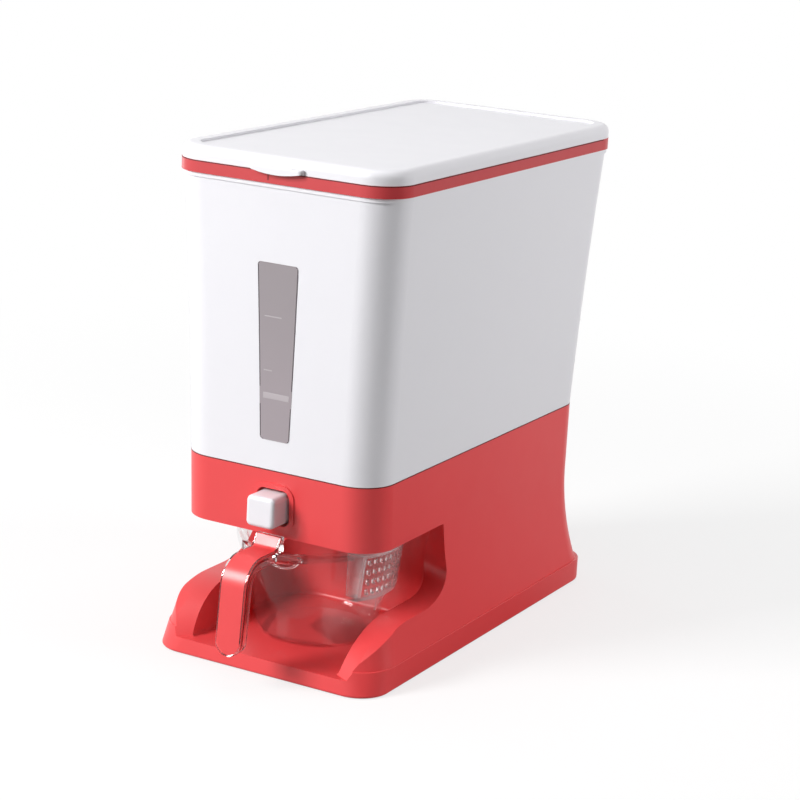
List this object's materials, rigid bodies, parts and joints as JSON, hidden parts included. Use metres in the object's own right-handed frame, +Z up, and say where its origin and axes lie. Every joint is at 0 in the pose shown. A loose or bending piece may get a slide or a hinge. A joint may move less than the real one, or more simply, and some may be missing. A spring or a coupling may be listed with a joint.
{
  "type": "rice dispenser",
  "caption": "Upright grain dispenser: flared tank with front window and hinged lid on a swept base with push button, outlet bay and pull-out clear washing cup with side strainer.",
  "frame": {"origin": "on the underside of the bottom cover, under the middle of the body", "axes": "+Z up, the front with the button and the cup faces -Y, +X is to the right seen from the front"},
  "size_m": [0.188, 0.399, 0.373],
  "materials": {
    "red_plastic": "satin moulded",
    "white_plastic": "satin moulded",
    "clear_plastic": "clear moulded",
    "smoke_plastic": "translucent smoke",
    "grey_plastic": "moulded",
    "soft_seal": "soft",
    "dark_rubber": "matt",
    "steel": "bright"
  },
  "bodies": {
    "stand": {"base": "red_plastic", "base_plate": "grey_plastic", "plate_screws": "steel", "tank": "white_plastic", "window": "smoke_plastic", "collar": "red_plastic", "hopper": "white_plastic", "hopper_seal": "soft_seal", "gate_frame": "grey_plastic", "frame_screws": "steel", "return_spring": "steel", "chute": "red_plastic", "pad_1": "dark_rubber", "pad_2": "dark_rubber", "pad_3": "dark_rubber", "pad_4": "dark_rubber"},
    "lid_body": {"lid": "white_plastic", "lid_seal": "soft_seal", "hinge_pins": "steel"},
    "pusher": {"button": "white_plastic", "gate": "white_plastic", "guide_rod": "steel"},
    "cup_body": {"cup": "clear_plastic", "cup_grip": "red_plastic", "cup_strainer": "clear_plastic"}
  },
  "joints": [
    {"name": "lid_hinge", "type": "hinge", "parent": "stand", "child": "lid_body", "pos_m": [0, 0.1754, 0.3662], "axis": [-1, 0, 0], "range_deg": [0, 100]},
    {"name": "button_push", "type": "slide", "parent": "stand", "child": "pusher", "axis": [0, 1, 0], "range_m": [0, 0.016], "stiffness_N_per_m": 150, "springref_m": -0.012, "deforming": ["return_spring"]},
    {"name": "cup_pull", "type": "slide", "parent": "stand", "child": "cup_body", "axis": [0, -1, 0], "range_m": [0, 0.22]}
  ]
}
